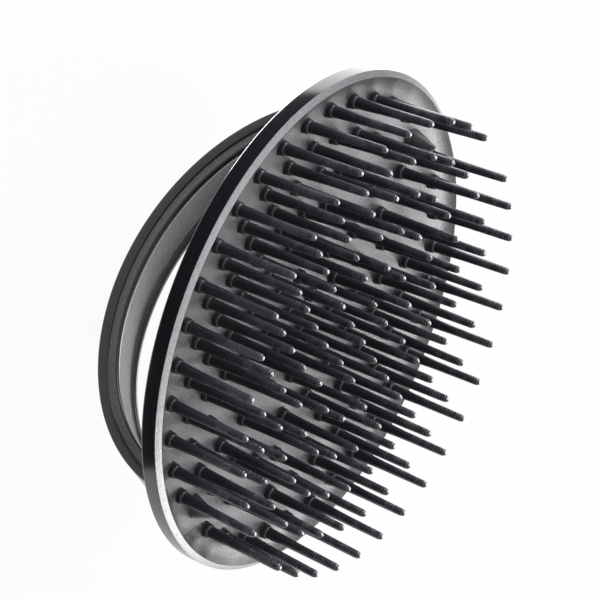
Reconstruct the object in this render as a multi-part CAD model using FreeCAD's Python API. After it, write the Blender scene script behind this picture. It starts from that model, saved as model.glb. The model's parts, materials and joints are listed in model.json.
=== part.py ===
import FreeCAD, Part
import math
import os

# Round palm brush for washing hair. A dished plate of slightly splayed pins sits in a shallow round
# shell. A hoop on the back lets the fingers through and is pegged through shell and plate.
# Millimetres. Pins point along +Z, the hoop spans X, and the crown of the hoop touches the plane Z = 0.

# Disc, with a bowl-shaped face whose edge lies a little below the lip
disc_radius = 40.0
dish_radius = 168.0
face_depth = 0.95
lip_width = 0.9
lip_bevel_height = 0.65

# Pin plate, a dished sheet set into the shell
plate_thickness = 1.2
plate_clearance = 0.05

# Shell behind the plate
shell_thickness = 1.1

# Pins in concentric rings, with as many more in each ring as the first ring has.
# They lean outwards, more from ring to ring.
ring_count = 6
first_ring_count = 6
outer_ring_margin = 4.9
first_pin_angle = math.radians(30.0)
outer_pin_lean = math.radians(3.3)

# One tapered pin, measured from the face of the plate
pin_length = 14.4
pin_root_diameter = 1.95
pin_tip_diameter = 1.3
pin_tip_height = 0.6
pin_sides = 5
pin_clearance = 0.03

# Boss that carries a pin on the face of the plate
boss_wall = 0.475
boss_height = 1.1
socket_floor = 0.6

# Hoop handle, a strap bent to half an oval with short straight legs
handle_reach = 32.4
hoop_inset = 5.0
hoop_spring_depth = 5.3
strap_width = 10.2
outer_band_thickness = 1.7
inner_band_thickness = 1.6
inner_band_inset = 0.5
finger_recess_depth = 0.6
edge_bead_width = 1.3

# Square pegs that hold the legs through shell and plate, each with a cone-shaped head on the face
peg_width = 2.2
peg_clearance = 0.05
peg_head_diameter = 4.4
peg_head_height = 5.0
peg_tip_diameter = 0.6

# Length by which a cutting or joining body passes the faces that it meets
overrun = 1.0

# Worked out from the sizes above
lip_plane = handle_reach
pocket_radius = disc_radius - lip_width
plate_radius = pocket_radius - plate_clearance
ball_centre_height = lip_plane - face_depth + math.sqrt(dish_radius ** 2 - plate_radius ** 2)
plate_back_ball = dish_radius + plate_thickness
seat_ball = plate_back_ball + plate_clearance
shell_back_ball = seat_ball + shell_thickness
ring_pitch = (disc_radius - outer_ring_margin) / ring_count
boss_diameter = pin_root_diameter + 2 * boss_wall
socket_bottom = socket_floor - plate_thickness
strap_thickness = outer_band_thickness + inner_band_thickness
hoop_half_span = disc_radius - hoop_inset
hoop_rise = handle_reach - hoop_spring_depth
leg_middle = hoop_half_span - (strap_thickness - finger_recess_depth) / 2
vertical = FreeCAD.Vector(0, 0, 1)
quarter_turn = 90.0
full_turn = 360.0


def point(place, height):
    return FreeCAD.Vector(place, 0, height)


def line(start, end):
    return Part.LineSegment(start, end).toShape()


def bowl_height(ball_radius, place):
    # Height of a bowl surface at a distance from the axis.
    return ball_centre_height - math.sqrt(ball_radius ** 2 - place ** 2)


def ball(radius):
    # Ball above the brush whose underside is a bowl surface, with its poles turned away from the disc.
    centre = point(0, ball_centre_height)
    shape = Part.makeSphere(radius, centre)
    shape.rotate(centre, FreeCAD.Vector(1, 0, 0), quarter_turn)
    return shape


def round_block(radius):
    # Cylinder about the axis, from below the shell to above the lip.
    low = bowl_height(shell_back_ball, 0) - overrun
    return Part.makeCylinder(radius, lip_plane + overrun - low, point(0, low))


def corners(diameter, height):
    # Corners of a many-sided section with the area of a round one.
    step = 2 * math.pi / pin_sides
    reach = diameter / 2 * math.sqrt(step / math.sin(step))
    places = []
    for index in range(pin_sides):
        angle = step * index
        places.append(FreeCAD.Vector(reach * math.cos(angle), reach * math.sin(angle), height))
    return places


def flat_face(places):
    return Part.Face(Part.makePolygon(places + places[:1]))


def faceted(sections, apex=None):
    # Solid with flat sides between many-sided sections, lowest first, closed by a flat or a low point.
    faces = [flat_face(sections[0])]
    for lower, upper in zip(sections, sections[1:]):
        for index in range(pin_sides):
            after = (index + 1) % pin_sides
            faces.append(flat_face([lower[index], lower[after], upper[after], upper[index]]))
    top = sections[-1]
    if apex is None:
        faces.append(flat_face(top))
    else:
        for index in range(pin_sides):
            faces.append(flat_face([top[index], top[(index + 1) % pin_sides], apex]))
    return Part.Solid(Part.Shell(faces))


def clear_of_pegs(distance, angle):
    # Whether a boss at this place keeps off the heads of the two pegs.
    across = distance * math.sin(angle)
    along = abs(distance * math.cos(angle)) - leg_middle
    return math.hypot(along, across) > (boss_diameter + peg_head_diameter) / 2


def copies_in_ring(shape, ring):
    # Leaning copies of a shape at the pins of one ring, on the face. Ring zero is the middle of the disc.
    count = max(1, first_ring_count * ring)
    distance = ring_pitch * ring
    lean = math.degrees(outer_pin_lean * ring / ring_count)
    copies = []
    for index in range(count):
        angle = first_pin_angle + 2 * math.pi * index / count
        if clear_of_pegs(distance, angle):
            copy = shape.copy()
            copy.rotate(point(0, 0), FreeCAD.Vector(0, 1, 0), lean)
            copy.translate(point(distance, bowl_height(dish_radius, distance)))
            copy.rotate(point(0, 0), vertical, math.degrees(angle))
            copies.append(copy)
    return copies


def copies_on_face(shape):
    copies = []
    for ring in range(ring_count + 1):
        copies += copies_in_ring(shape, ring)
    return copies


def make_pin_plate():
    # Dished sheet with a boss and a blind socket for every pin, and a hole for each peg.
    socket_diameter = pin_root_diameter + 2 * pin_clearance
    boss = faceted([corners(boss_diameter, socket_bottom), corners(boss_diameter, boss_height)])
    socket = faceted([corners(socket_diameter, socket_bottom),
                      corners(socket_diameter, boss_height + overrun)])
    plate = round_block(plate_radius).common(ball(plate_back_ball)).cut(ball(dish_radius))
    plate = plate.multiFuse(copies_on_face(boss))
    plate = plate.cut(Part.makeCompound(copies_on_face(socket)))
    return plate.cut(Part.makeCompound([peg(side, peg_clearance) for side in (-1, 1)]))


def make_pin_ring(ring):
    # Tapered pins, each from the floor of its socket to its blunt tip.
    root = corners(pin_root_diameter, socket_bottom + pin_clearance)
    shoulder = corners(pin_tip_diameter, pin_length - pin_tip_height)
    pin = faceted([root, shoulder], point(0, pin_length))
    return Part.makeCompound(copies_in_ring(pin, ring))


def peg(side, clearance):
    # Square peg through shell and plate above one leg, enlarged by a clearance where it is used to cut.
    width = peg_width + 2 * clearance
    low = bowl_height(shell_back_ball, leg_middle) - overrun
    high = bowl_height(dish_radius, leg_middle) + overrun
    corner = FreeCAD.Vector(side * leg_middle - width / 2, -width / 2, low)
    return Part.makeBox(width, width, high - low, corner)


def peg_head(side):
    # Cone on the face above one leg, with a flat underside along the slope of the bowl.
    radius = peg_head_diameter / 2
    place = side * leg_middle
    low = bowl_height(dish_radius, leg_middle - radius)
    high = bowl_height(dish_radius, leg_middle) + peg_head_height
    cone = Part.makeCone(radius, peg_tip_diameter / 2, high - low, point(place, low))
    foot = point(place, bowl_height(dish_radius - peg_clearance, leg_middle))
    corner = foot - FreeCAD.Vector(peg_head_diameter, peg_head_diameter, peg_head_diameter)
    below = Part.makeBox(2 * peg_head_diameter, 2 * peg_head_diameter, peg_head_diameter, corner)
    below.rotate(foot, FreeCAD.Vector(0, -side, 0), math.degrees(math.asin(leg_middle / dish_radius)))
    return cone.cut(below)


def make_back_shell():
    # Shallow cup with a bevelled lip and a hole for each peg of the hoop.
    low = bowl_height(shell_back_ball, 0) - overrun
    outline = [
        point(0, low),
        point(disc_radius, low),
        point(disc_radius, lip_plane - lip_bevel_height),
        point(pocket_radius, lip_plane),
        point(0, lip_plane),
    ]
    shell = flat_face(outline).revolve(point(0, 0), vertical, full_turn)
    shell = shell.common(ball(shell_back_ball))
    shell = shell.cut(round_block(pocket_radius).common(ball(seat_ball)))
    return shell.cut(Part.makeCompound([peg(side, peg_clearance) for side in (-1, 1)]))


def half_oval(half_span, rise):
    # Lower half of an oval from +X round the crown to -X, at the height where the legs spring.
    centre = point(0, hoop_rise)
    crown = point(0, hoop_rise - rise)
    if half_span >= rise:
        oval = Part.Ellipse(point(half_span, hoop_rise), crown, centre)
        return Part.ArcOfEllipse(oval, 0, math.pi).toShape()
    oval = Part.Ellipse(crown, point(-half_span, hoop_rise), centre)
    return Part.ArcOfEllipse(oval, -math.pi / 2, math.pi / 2).toShape()


def arch_block(depth, width):
    # Solid within the arch line that lies a depth inside the outer face of the strap.
    half_span = hoop_half_span - depth
    leg_top = bowl_height(dish_radius, hoop_half_span)
    edges = [
        half_oval(half_span, hoop_rise - depth),
        line(point(-half_span, hoop_rise), point(-half_span, leg_top)),
        line(point(-half_span, leg_top), point(half_span, leg_top)),
        line(point(half_span, leg_top), point(half_span, hoop_rise)),
    ]
    section = Part.Face(Part.Wire(Part.__sortEdges__(edges)))
    section.translate(FreeCAD.Vector(0, -width / 2, 0))
    return section.extrude(FreeCAD.Vector(0, width, 0))


def band(outer_depth, inner_depth, width):
    # Stretch of the strap between two depths, open at the top.
    return arch_block(outer_depth, width).cut(arch_block(inner_depth, width + 2 * overrun))


def make_handle_hoop():
    # Wide outer band, narrower inner band with a bead along both edges, and a headed peg on each leg.
    inner_width = strap_width - 2 * inner_band_inset
    recess_width = inner_width - 2 * edge_bead_width
    hoop = band(0, outer_band_thickness, strap_width)
    hoop = hoop.fuse(band(outer_band_thickness, strap_thickness, inner_width))
    hoop = hoop.cut(band(strap_thickness - finger_recess_depth, strap_thickness + overrun, recess_width))
    hoop = hoop.cut(ball(shell_back_ball + peg_clearance))
    pegs = [peg(side, 0) for side in (-1, 1)]
    heads = [peg_head(side) for side in (-1, 1)]
    return hoop.multiFuse(pegs + heads).removeSplitter()


def export(shape, name):
    shape.exportStep("parts/" + name + ".step")
    print(name, "solids", len(shape.Solids), "volume", round(shape.Volume, 2), "valid", shape.isValid())


os.makedirs("parts", exist_ok=True)
export(make_pin_plate(), "pin_plate")
export(make_pin_ring(0), "centre_pin")
for ring in range(1, ring_count + 1):
    export(make_pin_ring(ring), "pin_ring_" + str(ring))
export(make_back_shell(), "back_shell")
export(make_handle_hoop(), "handle_hoop")
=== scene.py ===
import json
import math
import bmesh
import bpy
from mathutils import Matrix, Vector

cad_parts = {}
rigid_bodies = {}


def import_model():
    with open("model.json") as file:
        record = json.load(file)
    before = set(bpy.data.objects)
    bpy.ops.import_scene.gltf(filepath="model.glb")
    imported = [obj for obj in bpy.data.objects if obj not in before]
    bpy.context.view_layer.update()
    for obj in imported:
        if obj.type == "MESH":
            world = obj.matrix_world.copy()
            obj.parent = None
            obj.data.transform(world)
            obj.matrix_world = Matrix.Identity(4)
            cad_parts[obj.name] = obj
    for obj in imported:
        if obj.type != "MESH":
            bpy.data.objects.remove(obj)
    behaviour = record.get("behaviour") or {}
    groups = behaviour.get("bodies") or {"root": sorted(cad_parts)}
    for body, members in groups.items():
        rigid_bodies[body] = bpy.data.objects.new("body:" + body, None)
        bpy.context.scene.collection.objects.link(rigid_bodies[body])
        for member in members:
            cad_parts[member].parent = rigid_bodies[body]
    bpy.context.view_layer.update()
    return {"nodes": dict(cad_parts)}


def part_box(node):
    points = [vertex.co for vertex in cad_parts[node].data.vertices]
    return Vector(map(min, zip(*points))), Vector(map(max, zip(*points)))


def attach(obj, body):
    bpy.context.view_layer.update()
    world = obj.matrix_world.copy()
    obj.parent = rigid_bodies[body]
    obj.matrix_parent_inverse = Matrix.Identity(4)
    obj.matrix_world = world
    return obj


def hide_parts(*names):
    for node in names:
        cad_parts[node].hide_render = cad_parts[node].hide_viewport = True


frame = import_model()
mm = 0.001
rootBody = "root"
sharpAngle = math.radians(40.0)  # edges that turn by more than this stay crisp
print("frame loaded with", len(frame["nodes"]), "nodes")

# the bowl shared by plate, shell and pins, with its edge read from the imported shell
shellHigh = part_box("back_shell")[1]
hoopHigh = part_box("handle_hoop")[1]
disc = {
    "radius": shellHigh.x,
    "lipPlane": shellHigh.z,
    "lipWidth": 0.9 * mm,
    "lipHeight": 0.65 * mm,
    "ballRadius": 168.0 * mm,
    "faceDepth": 0.95 * mm,
    "plateThickness": 1.2 * mm,
    "clearance": 0.05 * mm,
    "shellThickness": 1.1 * mm,
    "segments": 192,
    "bowlRings": 28,
}
pocketRadius = disc["radius"] - disc["lipWidth"]
plateRadius = pocketRadius - disc["clearance"]
ballCentre = disc["lipPlane"] - disc["faceDepth"] + math.sqrt(disc["ballRadius"] ** 2 - plateRadius ** 2)
plateBack = disc["ballRadius"] + disc["plateThickness"]
seatBall = plateBack + disc["clearance"]
shellBack = seatBall + disc["shellThickness"]


def bowlHeight(ball, place):
    return ballCentre - math.sqrt(ball ** 2 - place ** 2)


def bowlPoints(ball, start, end):
    count = disc["bowlRings"]
    places = [start + (end - start) * step / count for step in range(count + 1)]
    return [(place, bowlHeight(ball, place)) for place in places]


def roundedOutline(corners, steps):
    # corners are (u, v, radius); each corner with a radius becomes an arc
    outline = []
    for index, (u, v, radius) in enumerate(corners):
        here = Vector((u, v))
        if radius == 0:
            outline.append((u, v))
            continue
        before = (Vector(corners[index - 1][:2]) - here).normalized()
        after = (Vector(corners[(index + 1) % len(corners)][:2]) - here).normalized()
        half = before.angle(after) / 2
        centre = here + (before + after).normalized() * (radius / math.sin(half))
        start = here + before * (radius / math.tan(half)) - centre
        end = here + after * (radius / math.tan(half)) - centre
        turn = start.angle_signed(end)
        for step in range(steps + 1):
            swing = -turn * step / steps
            x = start.x * math.cos(swing) - start.y * math.sin(swing)
            y = start.x * math.sin(swing) + start.y * math.cos(swing)
            outline.append((centre.x + x, centre.y + y))
    return outline


def newPiece(name, mesh):
    piece = bpy.data.objects.new(name, mesh)
    bpy.context.scene.collection.objects.link(piece)
    return piece


def meshFrom(build, name):
    mesh = bpy.data.meshes.new(name)
    build.to_mesh(mesh)
    build.free()
    return mesh


def smoothMeshFrom(build, name):
    bmesh.ops.recalc_face_normals(build, faces=build.faces)
    mesh = meshFrom(build, name)
    for face in mesh.polygons:
        face.use_smooth = True
    mesh.set_sharp_from_angle(angle=sharpAngle)
    return mesh


def latheMesh(name, profile, segments):
    # turns a section that starts and ends on the Z axis into a closed mesh
    build = bmesh.new()
    rings = []
    for radius, height in profile:
        if radius == 0:
            rings.append([build.verts.new((0, 0, height))])
            continue
        ring = []
        for index in range(segments):
            angle = 2 * math.pi * index / segments
            ring.append(build.verts.new((radius * math.cos(angle), radius * math.sin(angle), height)))
        rings.append(ring)
    for lower, upper in zip(rings, rings[1:]):
        for index in range(segments):
            after = (index + 1) % segments
            corners = [lower[index % len(lower)], lower[after % len(lower)],
                       upper[after % len(upper)], upper[index % len(upper)]]
            build.faces.new(list(dict.fromkeys(corners)))
    return smoothMeshFrom(build, name)


# one function for every node of a material or a geometry tree
def addNode(tree, kind, links=None, **settings):
    node = tree.nodes.new(kind)
    for name, value in settings.items():
        setattr(node, name, value)
    for socket, value in (links or {}).items():
        if isinstance(value, bpy.types.NodeSocket):
            tree.links.new(value, node.inputs[socket])
        else:
            node.inputs[socket].default_value = value
    return node


def emptyTree(owner):
    owner.use_nodes = True
    owner.node_tree.nodes.clear()
    return owner.node_tree


def hexColour(text):
    # sRGB channels turned to linear light by the standard curve
    channels = [int(text[index:index + 2], 16) / 255 for index in (1, 3, 5)]
    linear = [c / 12.92 if c <= 0.04045 else ((c + 0.055) / 1.055) ** 2.4 for c in channels]
    return (*linear, 1.0)


# colour sockets of a Mix node, whose names are shared with its number sockets
mixFirst = 6
mixSecond = 7
mixResult = 2
waveBand = 2 * math.pi / 20  # length of one band of a wave texture at scale 1

# black ABS moulded against a spark-eroded tool: a satin face with a fine even grain;
# its IOR lies above the usual 1.54 to match the strength of the sheen
satinFace = {
    "dark": "#17171b", "pale": "#58585f", "darkBelow": 0.3, "paleAbove": 0.7, "ior": 1.8,
    "grainMm": 0.36, "grainDetail": 4.0, "grainRough": 0.6, "grainDepthMm": 0.09, "grainBump": 0.8,
    "blotchMm": 9.0, "blotchDetail": 3.0, "roughLow": 0.38, "roughHigh": 0.46,
}


def makeSatinAbs():
    material = bpy.data.materials.new("absMouldedSatinBlack")
    tree = emptyTree(material)
    place = addNode(tree, "ShaderNodeTexCoord").outputs["Object"]
    blotch = addNode(tree, "ShaderNodeTexNoise", {
        "Vector": place, "Scale": 1 / (satinFace["blotchMm"] * mm), "Detail": satinFace["blotchDetail"]})
    # real grit is about 0.05 mm, drawn coarser so that it shows in the render
    grain = addNode(tree, "ShaderNodeTexNoise", {
        "Vector": place, "Scale": 1 / (satinFace["grainMm"] * mm),
        "Detail": satinFace["grainDetail"], "Roughness": satinFace["grainRough"]})
    shade = addNode(tree, "ShaderNodeMapRange", {
        "Value": grain.outputs["Fac"],
        "From Min": satinFace["darkBelow"], "From Max": satinFace["paleAbove"]})
    colour = addNode(tree, "ShaderNodeMix", {
        "Factor": shade.outputs["Result"],
        mixFirst: hexColour(satinFace["dark"]), mixSecond: hexColour(satinFace["pale"])}, data_type="RGBA")
    rough = addNode(tree, "ShaderNodeMapRange", {
        "Value": blotch.outputs["Fac"],
        "To Min": satinFace["roughLow"], "To Max": satinFace["roughHigh"]})
    bump = addNode(tree, "ShaderNodeBump", {
        "Height": grain.outputs["Fac"], "Strength": satinFace["grainBump"],
        "Distance": satinFace["grainDepthMm"] * mm})
    shader = addNode(tree, "ShaderNodeBsdfPrincipled", {
        "Base Color": colour.outputs[mixResult], "Roughness": rough.outputs["Result"],
        "Normal": bump.outputs["Normal"], "IOR": satinFace["ior"]})
    addNode(tree, "ShaderNodeOutputMaterial", {"Surface": shader.outputs["BSDF"]})
    return material


# black nylon pins drawn from drilled holes in the tool: half gloss and finely speckled, duller at the root,
# with faint turning ridges that catch the light on the outer half; the colour is painted darker at the root
# as shade and paler at the end as light
nylonPin = {
    "dark": "#17171d", "pale": "#50505a", "toneShare": 0.5, "ior": 1.53,
    "speckMm": 0.4, "speckDetail": 3.0, "speckRough": 0.6,
    "patchMm": 1.6, "patchDetail": 2.0, "roughLow": 0.1, "roughHigh": 0.22, "rootRough": 0.16,
    "ringMm": 0.42, "ringDetail": 2.0, "ringWander": 1.6, "ringDepthMm": 0.085, "ringBump": 0.7,
    "ringStart": 2.0 * mm, "ringFull": 7.0 * mm, "wornBelow": 0.36, "crispAbove": 0.6,
}


def makeNylonPins():
    material = bpy.data.materials.new("nylonMouldedGlossBlack")
    tree = emptyTree(material)
    place = addNode(tree, "ShaderNodeTexCoord").outputs["Object"]
    patch = addNode(tree, "ShaderNodeTexNoise", {
        "Vector": place, "Scale": 1 / (nylonPin["patchMm"] * mm), "Detail": nylonPin["patchDetail"]})
    # specks are drawn coarser than life so that they show in the render
    speck = addNode(tree, "ShaderNodeTexNoise", {
        "Vector": place, "Scale": 1 / (nylonPin["speckMm"] * mm),
        "Detail": nylonPin["speckDetail"], "Roughness": nylonPin["speckRough"]})
    rings = addNode(tree, "ShaderNodeTexWave", {
        "Vector": place, "Scale": waveBand / (nylonPin["ringMm"] * mm),
        "Distortion": nylonPin["ringWander"], "Detail": nylonPin["ringDetail"]}, bands_direction="Z")
    split = addNode(tree, "ShaderNodeSeparateXYZ", {"Vector": place})
    outer = addNode(tree, "ShaderNodeMapRange", {
        "Value": split.outputs["Z"],
        "From Min": disc["lipPlane"] + nylonPin["ringStart"],
        "From Max": disc["lipPlane"] + nylonPin["ringFull"]})
    # the ridges are worn away in patches
    worn = addNode(tree, "ShaderNodeMapRange", {
        "Value": patch.outputs["Fac"],
        "From Min": nylonPin["wornBelow"], "From Max": nylonPin["crispAbove"]})
    ridge = addNode(tree, "ShaderNodeMath", {
        0: outer.outputs["Result"], 1: worn.outputs["Result"]}, operation="MULTIPLY")
    height = addNode(tree, "ShaderNodeMath", {
        0: rings.outputs["Fac"], 1: ridge.outputs["Value"]}, operation="MULTIPLY")
    # painted shade and painted light: on top of the specks the colour is darker towards the root and paler
    # towards the end
    speckAndPaintedShade = addNode(tree, "ShaderNodeMath", {
        0: speck.outputs["Fac"], 1: outer.outputs["Result"]}, operation="ADD")
    tone = addNode(tree, "ShaderNodeMath", {
        0: speckAndPaintedShade.outputs["Value"], 1: nylonPin["toneShare"]}, operation="MULTIPLY")
    colour = addNode(tree, "ShaderNodeMix", {
        "Factor": tone.outputs["Value"],
        mixFirst: hexColour(nylonPin["dark"]), mixSecond: hexColour(nylonPin["pale"])}, data_type="RGBA")
    uneven = addNode(tree, "ShaderNodeMapRange", {
        "Value": patch.outputs["Fac"],
        "To Min": nylonPin["roughLow"], "To Max": nylonPin["roughHigh"]})
    dull = addNode(tree, "ShaderNodeMapRange", {
        "Value": outer.outputs["Result"], "To Min": nylonPin["rootRough"], "To Max": 0.0})
    rough = addNode(tree, "ShaderNodeMath", {
        0: uneven.outputs["Result"], 1: dull.outputs["Result"]}, operation="ADD")
    bump = addNode(tree, "ShaderNodeBump", {
        "Height": height.outputs["Value"], "Strength": nylonPin["ringBump"],
        "Distance": nylonPin["ringDepthMm"] * mm})
    shader = addNode(tree, "ShaderNodeBsdfPrincipled", {
        "Base Color": colour.outputs[mixResult], "Roughness": rough.outputs["Value"],
        "Normal": bump.outputs["Normal"], "IOR": nylonPin["ior"]})
    addNode(tree, "ShaderNodeOutputMaterial", {"Surface": shader.outputs["BSDF"]})
    return material


# black ABS moulded against a polished tool: deep gloss, a slow sink wave and fine specks of wear;
# the shell's IOR lies above the usual 1.54 to match the strength of its gloss
glossAbs = {
    "dark": "#18181e", "pale": "#222229", "shellIor": 1.8, "hoopIor": 1.54,
    "waveMm": 14.0, "waveDetail": 1.0, "waveDepthMm": 0.02, "waveBump": 0.4,
    "speckMm": 0.5, "speckDetail": 3.0, "shinyBelow": 0.3, "wornAbove": 0.7,
    "roughLow": 0.14, "roughHigh": 0.19,
}


def makeGlossAbs(name, ior):
    material = bpy.data.materials.new(name)
    tree = emptyTree(material)
    place = addNode(tree, "ShaderNodeTexCoord").outputs["Object"]
    wave = addNode(tree, "ShaderNodeTexNoise", {
        "Vector": place, "Scale": 1 / (glossAbs["waveMm"] * mm), "Detail": glossAbs["waveDetail"]})
    # specks are drawn coarser than life so that they show in the render
    speck = addNode(tree, "ShaderNodeTexNoise", {
        "Vector": place, "Scale": 1 / (glossAbs["speckMm"] * mm), "Detail": glossAbs["speckDetail"]})
    colour = addNode(tree, "ShaderNodeMix", {
        "Factor": speck.outputs["Fac"],
        mixFirst: hexColour(glossAbs["dark"]), mixSecond: hexColour(glossAbs["pale"])}, data_type="RGBA")
    rough = addNode(tree, "ShaderNodeMapRange", {
        "Value": speck.outputs["Fac"],
        "From Min": glossAbs["shinyBelow"], "From Max": glossAbs["wornAbove"],
        "To Min": glossAbs["roughLow"], "To Max": glossAbs["roughHigh"]})
    bump = addNode(tree, "ShaderNodeBump", {
        "Height": wave.outputs["Fac"], "Strength": glossAbs["waveBump"],
        "Distance": glossAbs["waveDepthMm"] * mm})
    shader = addNode(tree, "ShaderNodeBsdfPrincipled", {
        "Base Color": colour.outputs[mixResult], "Roughness": rough.outputs["Result"],
        "Normal": bump.outputs["Normal"], "IOR": ior})
    addNode(tree, "ShaderNodeOutputMaterial", {"Surface": shader.outputs["BSDF"]})
    return material


satinAbs = makeSatinAbs()
nylonPins = makeNylonPins()
glossAbsShell = makeGlossAbs("absMouldedGlossBlackShell", glossAbs["shellIor"])
glossAbsHoop = makeGlossAbs("absMouldedGlossBlackHoop", glossAbs["hoopIor"])
print("materials made")


def handOver(piece, nodes):
    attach(piece, rootBody)
    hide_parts(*nodes)
    print("piece", piece.name, "with", len(piece.data.polygons), "faces")


# dished plate that sweeps up round its edge to meet the lip
plate = {"sweepWidth": 2.3 * mm, "sweepSteps": 8, "gap": 0.01 * mm}


def makePlate():
    edge = pocketRadius - plate["gap"]
    foot = edge - plate["sweepWidth"]
    rise = disc["lipPlane"] - plate["gap"] - bowlHeight(disc["ballRadius"], edge)
    profile = bowlPoints(disc["ballRadius"], 0, foot)
    for step in range(1, plate["sweepSteps"] + 1):
        share = step / plate["sweepSteps"]
        place = foot + plate["sweepWidth"] * share
        profile.append((place, bowlHeight(disc["ballRadius"], place) + rise * share ** 2))
    profile += reversed(bowlPoints(plateBack, 0, edge))
    mesh = latheMesh("pinPlate", profile, disc["segments"])
    mesh.materials.append(satinAbs)
    handOver(newPiece("pinPlate", mesh), ["pin_plate"])


makePlate()

# shallow shell: satin bevelled lip round the plate, glossy straight wall, small round on the back edge
shell = {"backRound": 0.35 * mm, "lipRound": 0.1 * mm, "crestRound": 0.04 * mm, "roundSteps": 8,
         "satinRise": 0.4}  # upward part of the normal, above which an edge face belongs to the lip


def makeShell():
    radius = disc["radius"]
    lip = disc["lipPlane"]
    back = [(place, height, 0) for place, height in bowlPoints(shellBack, 0, radius)]
    seat = [(place, height, 0) for place, height in bowlPoints(seatBall, 0, pocketRadius)]
    edge = [(radius, bowlHeight(shellBack, radius), shell["backRound"]),
            (radius, lip - disc["lipHeight"], shell["lipRound"]),
            (pocketRadius, lip, shell["crestRound"])]
    profile = roundedOutline(back[:-1] + edge + seat[::-1], shell["roundSteps"])
    mesh = latheMesh("backShell", profile, disc["segments"])
    mesh.materials.append(glossAbsShell)
    mesh.materials.append(satinAbs)
    for face in mesh.polygons:
        onLip = face.normal.z > shell["satinRise"] and face.center.xy.length > pocketRadius
        face.material_index = int(onLip)
    handOver(newPiece("backShell", mesh), ["back_shell"])


makeShell()

# hoop: a strap section carried round half an oval, with straight legs up to the shell and a slight lean
hoop = {
    "halfSpan": disc["radius"] - 5.0 * mm, "springDepth": 5.3 * mm, "crownShift": 1.85 * mm,
    "outerBand": 1.7 * mm, "innerBand": 1.6 * mm, "inset": 0.5 * mm, "recess": 0.6 * mm, "bead": 1.3 * mm,
    "outerRound": 0.2 * mm, "stepRound": 0.15 * mm, "beadRound": 0.45 * mm, "floorRound": 0.15 * mm,
    "bulge": 0.1 * mm, "bulgeShares": (0.3, 0.4, 0.5, 0.6, 0.7),  # swell of the outer band's sides
    "satinMargin": 0.05 * mm, "stations": 128, "cornerSteps": 5,
}


def hoopSection():
    # (depth from the outer face, place across the strap, corner round)
    wide = hoopHigh.y
    narrow = wide - hoop["inset"]
    edge = wide - hoop["bulge"]
    floorEdge = narrow - hoop["bead"]
    stepDepth = hoop["outerBand"]
    crest = stepDepth + hoop["innerBand"]
    half = [(0, edge, hoop["outerRound"])]
    for share in hoop["bulgeShares"]:
        half.append((stepDepth * share, wide - hoop["bulge"] * (2 * share - 1) ** 2, 0))
    half += [(stepDepth, edge, hoop["stepRound"]),
             (stepDepth, narrow, hoop["stepRound"]),
             (crest, narrow, hoop["beadRound"]),
             (crest, floorEdge, hoop["beadRound"]),
             (crest - hoop["recess"], floorEdge, hoop["floorRound"])]
    mirrored = [(depth, -across, radius) for depth, across, radius in reversed(half)]
    return roundedOutline(half + mirrored, hoop["cornerSteps"])


# cone heads of the pegs that hold the hoop, standing on the face in place of two pins
pegs = {"headRadius": 2.0 * mm, "headHeight": 4.4 * mm, "tipRadius": 0.3 * mm, "sink": 0.8 * mm, "sides": 40,
        "bluntWidth": 0.7, "bluntDrop": 0.3}  # the tip's shoulder, in shares of its radius
pegPlace = hoop["halfSpan"] - (hoop["outerBand"] + hoop["innerBand"] - hoop["recess"]) / 2


def addPegHead(build, side):
    radius = pegs["headRadius"]
    tip = pegs["tipRadius"]
    low = bowlHeight(disc["ballRadius"], pegPlace - radius)
    top = bowlHeight(disc["ballRadius"], pegPlace) + pegs["headHeight"]
    profile = [(0, low - pegs["sink"]), (radius, low - pegs["sink"]), (radius, low), (tip, top - tip),
               (tip * pegs["bluntWidth"], top - tip * pegs["bluntDrop"]), (0, top)]
    head = latheMesh("pegHead", profile, pegs["sides"])
    head.transform(Matrix.Translation((side * pegPlace, 0, 0)))
    for face in head.polygons:
        face.material_index = 1
    build.from_mesh(head)
    bpy.data.meshes.remove(head)


def makeHoop():
    spring = disc["lipPlane"] - hoop["springDepth"]
    section = hoopSection()
    # the inner band is satin between the step and the polished beads
    satinFrom = hoop["outerBand"] + hoop["satinMargin"]
    satinTo = hoop["outerBand"] + hoop["innerBand"] - hoop["beadRound"] + hoop["satinMargin"]
    build = bmesh.new()

    def newVertex(x, across, z):
        lean = hoop["crownShift"] * (z / spring - 1)
        return build.verts.new((x + lean, across, z))

    def legRow(side):
        row = []
        for depth, across in section:
            x = side * (hoop["halfSpan"] - depth)
            top = bowlHeight(shellBack + disc["clearance"], math.hypot(x, across))
            row.append(newVertex(x, across, top))
        return row

    rows = [legRow(1)]
    for station in range(hoop["stations"] + 1):
        angle = math.pi * station / hoop["stations"]
        row = []
        for depth, across in section:
            x = (hoop["halfSpan"] - depth) * math.cos(angle)
            z = spring - (spring - depth) * math.sin(angle)
            row.append(newVertex(x, across, z))
        rows.append(row)
    rows.append(legRow(-1))
    for lower, upper in zip(rows, rows[1:]):
        for index in range(len(section)):
            after = (index + 1) % len(section)
            face = build.faces.new((lower[index], lower[after], upper[after], upper[index]))
            deepest = max(section[index][0], section[after][0])
            face.material_index = int(satinFrom < deepest < satinTo)
    build.faces.new(rows[0])
    build.faces.new(list(reversed(rows[-1])))
    for side in (1, -1):
        addPegHead(build, side)
    mesh = smoothMeshFrom(build, "handleHoop")
    mesh.materials.append(glossAbsHoop)
    mesh.materials.append(satinAbs)
    handOver(newPiece("handleHoop", mesh), ["handle_hoop"])


makeHoop()

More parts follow.
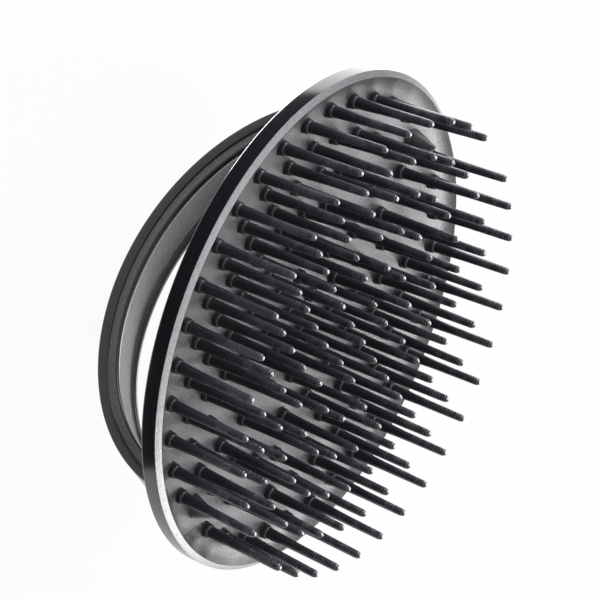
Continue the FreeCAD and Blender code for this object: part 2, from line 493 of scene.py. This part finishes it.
# pins and their bosses: one shape each, set on concentric rings by a geometry tree
pins = {
    "rings": 6, "firstRing": 6, "pitch": 5.85 * mm, "firstAngle": math.radians(30.0),
    "outerLean": math.radians(3.3), "stray": math.radians(0.4), "seed": 7,
    "length": 14.4 * mm, "foot": -0.57 * mm, "rootRadius": 1.0 * mm,
    "waistRadius": 0.72 * mm, "waistHeight": 6.5 * mm, "waistSteps": 4, "waistCurve": 0.8,
    "tipRadius": 0.62 * mm, "tipHeight": 0.95 * mm, "tipSteps": 5, "sides": 14,
}
bosses = {
    "radius": 1.17 * mm, "topRadius": 0.9 * mm, "height": 1.1 * mm, "foot": -0.6 * mm, "sides": 20,
    "roundFrom": 0.45 * mm, "roundSteps": 4,
    "flare": 0.08 * mm, "flareFoot": -0.05 * mm, "flareMiddle": 0.02 * mm, "flareShare": 0.3,
}


def pinShape():
    root = pins["rootRadius"]
    tipBase = pins["length"] - pins["tipHeight"]
    profile = [(0, pins["foot"]), (root, pins["foot"]), (root, 0)]
    for step in range(1, pins["waistSteps"] + 1):
        share = step / pins["waistSteps"]
        radius = root + (pins["waistRadius"] - root) * share ** pins["waistCurve"]
        profile.append((radius, pins["waistHeight"] * share))
    for step in range(pins["tipSteps"]):
        angle = math.pi / 2 * step / pins["tipSteps"]
        profile.append((pins["tipRadius"] * math.cos(angle), tipBase + pins["tipHeight"] * math.sin(angle)))
    profile.append((0, pins["length"]))
    return latheMesh("pinShape", profile, pins["sides"])


def bossShape():
    radius = bosses["radius"]
    flare = bosses["flare"]
    narrowing = radius - bosses["topRadius"]
    rise = bosses["height"] - bosses["roundFrom"]
    profile = [(0, bosses["foot"]), (radius + flare, bosses["foot"]), (radius + flare, bosses["flareFoot"]),
               (radius + flare * bosses["flareShare"], bosses["flareMiddle"]), (radius, flare)]
    for step in range(bosses["roundSteps"] + 1):
        angle = math.pi / 2 * step / bosses["roundSteps"]
        profile.append((bosses["topRadius"] + narrowing * math.cos(angle),
                        bosses["roundFrom"] + rise * math.sin(angle)))
    profile.append((0, bosses["height"]))
    return latheMesh("bossShape", profile, bosses["sides"])


def ringTree():
    tree = bpy.data.node_groups.new("pinRings", "GeometryNodeTree")
    tree.interface.new_socket(name="Geometry", in_out="OUTPUT", socket_type="NodeSocketGeometry")
    for name, kind in (("Shape", "NodeSocketObject"), ("First ring", "NodeSocketInt"),
                       ("Ring pitch", "NodeSocketFloat"), ("First angle", "NodeSocketFloat"),
                       ("Ball radius", "NodeSocketFloat"), ("Ball centre", "NodeSocketFloat"),
                       ("Peg place", "NodeSocketFloat"), ("Peg reach", "NodeSocketFloat"),
                       ("Splay", "NodeSocketFloat"), ("Stray", "NodeSocketFloat"),
                       ("Seed", "NodeSocketInt"), ("Material", "NodeSocketMaterial")):
        tree.interface.new_socket(name=name, in_out="INPUT", socket_type=kind)
    given = addNode(tree, "NodeGroupInput").outputs
    join = addNode(tree, "GeometryNodeJoinGeometry")
    middle = addNode(tree, "GeometryNodeMeshLine", {"Count": 1})
    tree.links.new(middle.outputs["Mesh"], join.inputs["Geometry"])
    for ring in range(1, pins["rings"] + 1):
        count = addNode(tree, "ShaderNodeMath", {
            0: given["First ring"], 1: float(ring)}, operation="MULTIPLY")
        radius = addNode(tree, "ShaderNodeMath", {
            0: given["Ring pitch"], 1: float(ring)}, operation="MULTIPLY")
        circle = addNode(tree, "GeometryNodeMeshCircle", {
            "Vertices": count.outputs["Value"], "Radius": radius.outputs["Value"]})
        tree.links.new(circle.outputs["Mesh"], join.inputs["Geometry"])
    turn = addNode(tree, "ShaderNodeCombineXYZ", {"Z": given["First angle"]})
    turned = addNode(tree, "GeometryNodeTransform", {
        "Geometry": join.outputs["Geometry"], "Rotation": turn.outputs["Vector"]})
    position = addNode(tree, "GeometryNodeInputPosition").outputs["Position"]
    # no pin where the head of a peg stands
    split = addNode(tree, "ShaderNodeSeparateXYZ", {"Vector": position})
    outwards = addNode(tree, "ShaderNodeMath", {0: split.outputs["X"]}, operation="ABSOLUTE")
    along = addNode(tree, "ShaderNodeMath", {
        0: outwards.outputs["Value"], 1: given["Peg place"]}, operation="SUBTRACT")
    aside = addNode(tree, "ShaderNodeCombineXYZ", {"X": along.outputs["Value"], "Y": split.outputs["Y"]})
    reach = addNode(tree, "ShaderNodeVectorMath", {0: aside.outputs["Vector"]}, operation="LENGTH")
    near = addNode(tree, "ShaderNodeMath", {
        0: reach.outputs["Value"], 1: given["Peg reach"]}, operation="LESS_THAN")
    kept = addNode(tree, "GeometryNodeDeleteGeometry", {
        "Geometry": turned.outputs["Geometry"], "Selection": near.outputs["Value"]})
    # height of the bowl under each point: centre - sqrt(radius^2 - distance^2)
    distance2 = addNode(tree, "ShaderNodeVectorMath", {0: position, 1: position}, operation="DOT_PRODUCT")
    radius2 = addNode(tree, "ShaderNodeMath", {
        0: given["Ball radius"], 1: given["Ball radius"]}, operation="MULTIPLY")
    inside = addNode(tree, "ShaderNodeMath", {
        0: radius2.outputs["Value"], 1: distance2.outputs["Value"]}, operation="SUBTRACT")
    drop = addNode(tree, "ShaderNodeMath", {0: inside.outputs["Value"]}, operation="SQRT")
    height = addNode(tree, "ShaderNodeMath", {
        0: given["Ball centre"], 1: drop.outputs["Value"]}, operation="SUBTRACT")
    lift = addNode(tree, "ShaderNodeCombineXYZ", {"Z": height.outputs["Value"]})
    raised = addNode(tree, "GeometryNodeSetPosition", {
        "Geometry": kept.outputs["Geometry"], "Offset": lift.outputs["Vector"]})
    # each shape leans outwards with its distance from the middle, strays a little and is freely turned
    fan = addNode(tree, "ShaderNodeCombineXYZ", {"X": given["Splay"], "Y": given["Splay"]})
    outward = addNode(tree, "ShaderNodeVectorMath", {
        0: position, 1: fan.outputs["Vector"]}, operation="MULTIPLY")
    minus = addNode(tree, "ShaderNodeMath", {0: given["Stray"], 1: -1.0}, operation="MULTIPLY")
    least = addNode(tree, "ShaderNodeCombineXYZ", {
        "X": minus.outputs["Value"], "Y": minus.outputs["Value"], "Z": 1.0})
    most = addNode(tree, "ShaderNodeCombineXYZ", {"X": given["Stray"], "Y": given["Stray"], "Z": 1.0})
    stray = addNode(tree, "FunctionNodeRandomValue", {
        0: least.outputs["Vector"], 1: most.outputs["Vector"], "Seed": given["Seed"]},
        data_type="FLOAT_VECTOR")
    axis = addNode(tree, "ShaderNodeVectorMath", {
        0: outward.outputs["Vector"], 1: stray.outputs[0]}, operation="ADD")
    # socket 3 is the greatest number, output 1 the number drawn
    spin = addNode(tree, "FunctionNodeRandomValue", {
        3: 2 * math.pi, "Seed": given["Seed"]}, data_type="FLOAT")
    euler = addNode(tree, "ShaderNodeCombineXYZ", {"Z": spin.outputs[1]})
    turnedFree = addNode(tree, "FunctionNodeEulerToRotation", {"Euler": euler.outputs["Vector"]})
    pose = addNode(tree, "FunctionNodeAlignRotationToVector", {
        "Rotation": turnedFree.outputs["Rotation"], "Vector": axis.outputs["Vector"]}, axis="Z")
    shape = addNode(tree, "GeometryNodeObjectInfo", {"Object": given["Shape"], "As Instance": True})
    placed = addNode(tree, "GeometryNodeInstanceOnPoints", {
        "Points": raised.outputs["Geometry"], "Instance": shape.outputs["Geometry"],
        "Rotation": pose.outputs["Rotation"]})
    real = addNode(tree, "GeometryNodeRealizeInstances", {"Geometry": placed.outputs["Instances"]})
    painted = addNode(tree, "GeometryNodeSetMaterial", {
        "Geometry": real.outputs["Geometry"], "Material": given["Material"]})
    addNode(tree, "NodeGroupOutput", {"Geometry": painted.outputs["Geometry"]})
    return tree


def setOnRings(name, tree, shapeMesh, stray):
    shapeObject = newPiece(name + "Shape", shapeMesh)
    piece = newPiece(name, bpy.data.meshes.new(name + "Start"))
    modifier = piece.modifiers.new("rings", "NODES")
    modifier.node_group = tree
    values = {
        "Shape": shapeObject, "Material": nylonPins, "Stray": stray, "Seed": pins["seed"],
        "First ring": pins["firstRing"], "Ring pitch": pins["pitch"], "First angle": pins["firstAngle"],
        "Splay": math.tan(pins["outerLean"]) / (pins["pitch"] * pins["rings"]),
        "Ball radius": disc["ballRadius"], "Ball centre": ballCentre,
        "Peg place": pegPlace, "Peg reach": pegs["headRadius"] + bosses["radius"],
    }
    for item in tree.interface.items_tree:
        if item.in_out == "INPUT":
            modifier[item.identifier] = values[item.name]
    piece.update_tag()
    graph = bpy.context.evaluated_depsgraph_get()
    mesh = bpy.data.meshes.new_from_object(piece.evaluated_get(graph))
    piece.modifiers.remove(modifier)
    piece.data = mesh
    mesh.name = name
    bpy.data.objects.remove(shapeObject)
    return piece


pinRings = ringTree()
# the bosses belong to the plate and take the pins' material, whose colour at their height is the painted
# shade of the root
handOver(setOnRings("pinBosses", pinRings, bossShape(), 0.0), ["pin_plate"])
handOver(setOnRings("pins", pinRings, pinShape(), pins["stray"]),
         ["centre_pin"] + ["pin_ring_%d" % ring for ring in range(1, pins["rings"] + 1)])

white = hexColour("#ffffff")
# pale floor that reads white to the lens and still takes a soft shadow
floor = {"size": 6.0, "colour": "#f4f4f4", "glow": 0.95}
# dark card on the floor before the brush, out of the lens but mirrored in the rim wall; corners in mm
flag = {"corners": [(-130, -700), (500, -700), (500, 3), (74, 3),
                    (60, -46), (-50, -46), (-60, -38), (-130, -38)],
        "height": 0.4 * mm, "colour": "#3c3c40"}


def seenDirectly(tree):
    # 1 where the lens sees a surface straight, in gloss or through glass
    path = addNode(tree, "ShaderNodeLightPath").outputs
    straight = addNode(tree, "ShaderNodeMath", {
        0: path["Is Camera Ray"], 1: path["Is Glossy Ray"]}, operation="MAXIMUM")
    seen = addNode(tree, "ShaderNodeMath", {
        0: straight.outputs["Value"], 1: path["Is Transmission Ray"]}, operation="MAXIMUM")
    return seen.outputs["Value"]


def flatPiece(name, corners, height):
    build = bmesh.new()
    build.faces.new([build.verts.new((x, y, height)) for x, y in corners])
    return newPiece(name, meshFrom(build, name))


def makeFloor():
    half = floor["size"] / 2
    piece = flatPiece("floor", [(-half, -half), (half, -half), (half, half), (-half, half)], 0)
    material = bpy.data.materials.new("paperFloor")
    tree = emptyTree(material)
    share = addNode(tree, "ShaderNodeMath", {0: seenDirectly(tree), 1: floor["glow"]}, operation="MULTIPLY")
    paper = addNode(tree, "ShaderNodeBsdfDiffuse", {"Color": hexColour(floor["colour"])})
    glow = addNode(tree, "ShaderNodeEmission", {"Color": white, "Strength": 1.0})
    both = addNode(tree, "ShaderNodeMixShader", {
        0: share.outputs["Value"], 1: paper.outputs["BSDF"], 2: glow.outputs["Emission"]})
    addNode(tree, "ShaderNodeOutputMaterial", {"Surface": both.outputs["Shader"]})
    piece.data.materials.append(material)


def makeFlag():
    piece = flatPiece("flag", [(x * mm, y * mm) for x, y in flag["corners"]], flag["height"])
    material = bpy.data.materials.new("blackCard")
    tree = emptyTree(material)
    card = addNode(tree, "ShaderNodeBsdfPrincipled", {
        "Base Color": hexColour(flag["colour"]), "Roughness": 1.0, "Specular IOR Level": 0.0})
    addNode(tree, "ShaderNodeOutputMaterial", {"Surface": card.outputs["BSDF"]})
    piece.data.materials.append(material)
    piece.visible_camera = False
    piece.visible_shadow = False
    piece.visible_diffuse = False


makeFloor()
makeFlag()

# soft boxes: place in metres from the disc, turned towards it unless a facing is given;
# along is the way that the second side of the box runs;
# a card is mirrored in gloss and lights nothing else, and onlyOn names the one piece that shows it
lamps = {
    "farBox": {"place": (-0.16, 0.72, 0.67), "size": (1.0, 0.36), "power": 5.2, "along": (0, 0, 1)},
    "topBox": {"place": (-0.26, -0.14, 0.95), "size": (0.5, 0.4), "power": 1.4, "along": (0, 1, 0)},
    "fillBox": {"place": (-0.85, -0.30, 0.42), "size": (0.6, 0.6), "power": 7.9, "along": (0, 0, 1)},
    "backBox": {"place": (-0.35, 0.93, 0.13), "size": (1.0, 0.24), "power": 2.5, "along": (0, 0, 1)},
    "tipCard": {"place": (-0.45, 0.34, 0.82), "size": (1.4, 1.4), "power": 80.0, "along": (0, 0, 1),
                "glossOnly": True, "onlyOn": "pins"},
    "lipCard": {"place": (0.0, 0.20, 0.97), "size": (1.4, 1.3), "power": 29.0, "along": (0, 1, 0),
                "glossOnly": True, "onlyOn": "backShell"},
    "lipEndCard": {"place": (0.45, 0.70, 0.58), "size": (0.7, 0.7), "power": 18.0, "along": (0, 0, 1),
                   "glossOnly": True, "onlyOn": "backShell"},
    "plateLowCard": {"place": (-0.55, 0.78, 0.30), "size": (0.4, 0.5), "power": 4.5, "along": (0, 0, 1),
                     "glossOnly": True, "onlyOn": "pinPlate"},
    "plateTopCard": {"place": (0.06, 0.78, 0.62), "size": (0.4, 0.5), "power": 4.5, "along": (0, 0, 1),
                     "glossOnly": True, "onlyOn": "pinPlate"},
    "floorCard": {"place": (-0.16, 0.13, -0.031), "size": (0.2, 0.33), "power": 0.42, "along": (0, 1, 0),
                  "facing": (0, 0, 1), "glossOnly": True},
    "edgeCard": {"place": (-0.035, 0.0, -0.031), "size": (0.04, 0.09), "power": 0.09, "along": (0, 1, 0),
                 "facing": (0, 0, 1), "glossOnly": True, "onlyOn": "backShell"},
}
roomLevel = 0.12
discMiddle = Vector((0, 0, disc["lipPlane"] - disc["lipHeight"]))


def makeLamps():
    for name, lamp in lamps.items():
        light = bpy.data.lights.new(name, "AREA")
        light.shape = "RECTANGLE"
        light.size, light.size_y = lamp["size"]
        light.energy = lamp["power"]
        piece = bpy.data.objects.new(name, light)
        back = -Vector(lamp.get("facing", [-step for step in lamp["place"]])).normalized()
        side = Vector(lamp["along"]).cross(back).normalized()
        turn = Matrix((side, back.cross(side), back)).transposed().to_4x4()
        piece.matrix_world = Matrix.Translation(discMiddle + Vector(lamp["place"])) @ turn
        piece.visible_camera = False
        piece.visible_diffuse = not lamp.get("glossOnly", False)
        if "onlyOn" in lamp:
            shown = bpy.data.collections.new(name + "Shows")
            shown.objects.link(bpy.data.objects[lamp["onlyOn"]])
            piece.light_linking.receiver_collection = shown
        bpy.context.scene.collection.objects.link(piece)


def makeRoom():
    # dim as a light, white where it is seen
    world = bpy.data.worlds.new("whiteRoom")
    tree = emptyTree(world)
    dim = addNode(tree, "ShaderNodeBackground", {"Color": white, "Strength": roomLevel})
    bright = addNode(tree, "ShaderNodeBackground", {"Color": white, "Strength": 1.0})
    both = addNode(tree, "ShaderNodeMixShader", {
        0: seenDirectly(tree), 1: dim.outputs["Background"], 2: bright.outputs["Background"]})
    addNode(tree, "ShaderNodeOutputWorld", {"Surface": both.outputs["Shader"]})
    bpy.context.scene.world = world


makeLamps()
makeRoom()

# long lens, placed from the middle of the disc; "back" points from the subject to the lens
camera = {"lens": 210.0, "sensor": 36.0, "near": 0.01, "far": 100.0,
          "place": (147.22 * mm, -446.35 * mm, 243.0 * mm),
          "back": (0.2818, -0.8396, 0.4645), "up": (-0.8246, -0.4594, -0.3302)}


def makeCamera():
    back = Vector(camera["back"]).normalized()
    right = Vector(camera["up"]).cross(back).normalized()
    up = back.cross(right)
    lens = bpy.data.cameras.new("camera")
    lens.lens = camera["lens"]
    lens.sensor_width = camera["sensor"]
    lens.clip_start = camera["near"]
    lens.clip_end = camera["far"]
    piece = bpy.data.objects.new("camera", lens)
    turn = Matrix((right, up, back)).transposed().to_4x4()
    piece.matrix_world = Matrix.Translation(discMiddle + Vector(camera["place"])) @ turn
    bpy.context.scene.collection.objects.link(piece)
    bpy.context.scene.camera = piece


makeCamera()
bpy.context.scene.view_settings.view_transform = "Standard"
print("stage, lamps and camera set")
